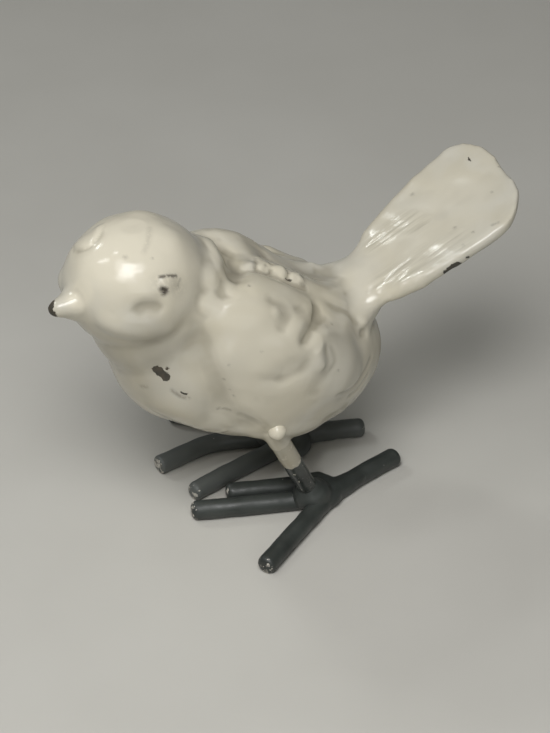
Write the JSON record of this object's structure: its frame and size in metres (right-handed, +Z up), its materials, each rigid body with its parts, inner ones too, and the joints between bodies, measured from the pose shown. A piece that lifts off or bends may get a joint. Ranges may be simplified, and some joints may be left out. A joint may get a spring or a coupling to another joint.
{
  "type": "cast iron bird figurine",
  "caption": "Plump cast iron songbird ornament in glossy cream enamel with a cocked paddle tail, standing on steel-rod legs and welded black rod toes.",
  "frame": {"origin": "middle of the outline seen from above, on the floor that the toes stand on", "axes": "+Z up, the beak points to -Y and the tail to +Y, the bird's left side is +X"},
  "size_m": [0.0752, 0.1308, 0.0966],
  "materials": {
    "casting_enamel": "thick glossy cream enamel over cast iron, chipped to the dark iron",
    "leg_enamel": "glossy cream enamel on steel rod, black on the lower half",
    "black_enamel": "glossy black enamel on steel rod, chipped at the tips"
  },
  "bodies": {
    "root": {"body_casting": "casting_enamel", "left_leg": "leg_enamel", "left_leg_bead": "leg_enamel", "left_foot_weld": "black_enamel", "left_outer_toe": "black_enamel", "left_middle_toe": "black_enamel", "left_inner_toe": "black_enamel", "left_rear_toe": "black_enamel", "right_leg": "leg_enamel", "right_leg_bead": "leg_enamel", "right_foot_weld": "black_enamel", "right_outer_toe": "black_enamel", "right_middle_toe": "black_enamel", "right_inner_toe": "black_enamel", "right_rear_toe": "black_enamel"}
  },
  "joints": []
}
